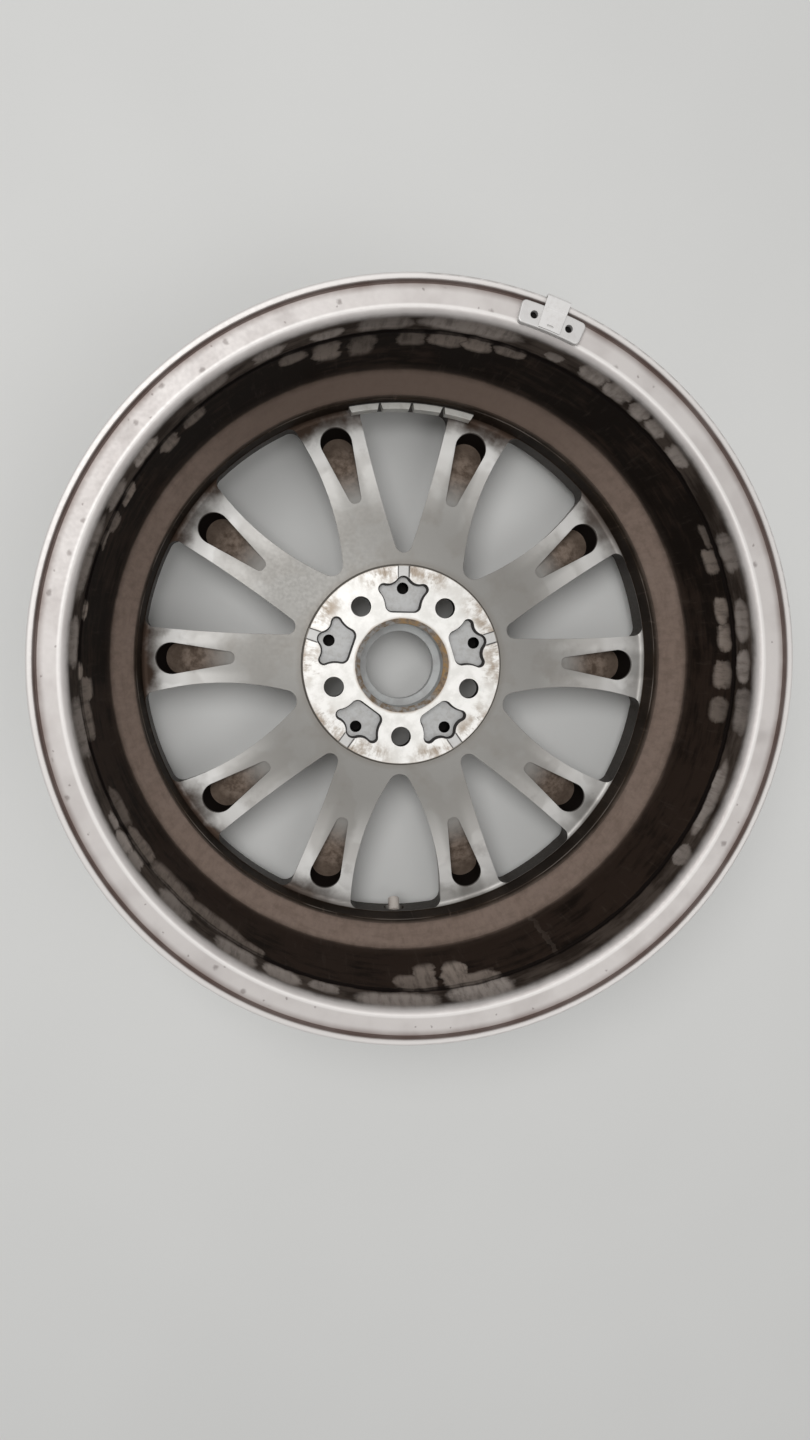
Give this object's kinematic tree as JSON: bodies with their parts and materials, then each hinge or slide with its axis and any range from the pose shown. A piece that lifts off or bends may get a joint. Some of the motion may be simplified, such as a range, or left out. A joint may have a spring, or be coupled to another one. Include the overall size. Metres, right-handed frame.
{
  "type": "alloy wheel",
  "caption": "Cast alloy car wheel lying face down: deep barrel, paired spokes with teardrop pockets, machined hub pad with stud holes and bore, balance weights and tyre valve.",
  "frame": {"origin": "on the wheel's axis, at the pad that bolts against the hub", "axes": "+Z along the axis towards the car, so that the wheel lies on its front lip; -Y runs from the axis to the tyre valve"},
  "size_m": [0.4966, 0.4965, 0.2183],
  "materials": {
    "cast_alloy": "silver paint over cast aluminium, turned on the hub pad, dusty inside",
    "valve_metal": "satin, turned",
    "valve_rubber": "matt black",
    "valve_cap": "pale, matt, dusty",
    "valve_core": "turned brass",
    "stick_weight": "pale grey coating",
    "weight_tape": "grey foam tape",
    "clip_weight": "pale grey coating",
    "clip_steel": "plated spring steel"
  },
  "bodies": {
    "root": {"wheel": "cast_alloy", "valve_stem": "valve_metal", "valve_grommet": "valve_rubber", "valve_washer": "valve_metal", "valve_nut": "valve_metal", "valve_cap": "valve_cap", "valve_core": "valve_core", "weight_block_1": "stick_weight", "weight_block_2": "stick_weight", "weight_block_3": "stick_weight", "weight_block_4": "stick_weight", "weight_tape": "weight_tape", "clip_weight": "clip_weight", "spring_clip": "clip_steel"}
  },
  "joints": []
}
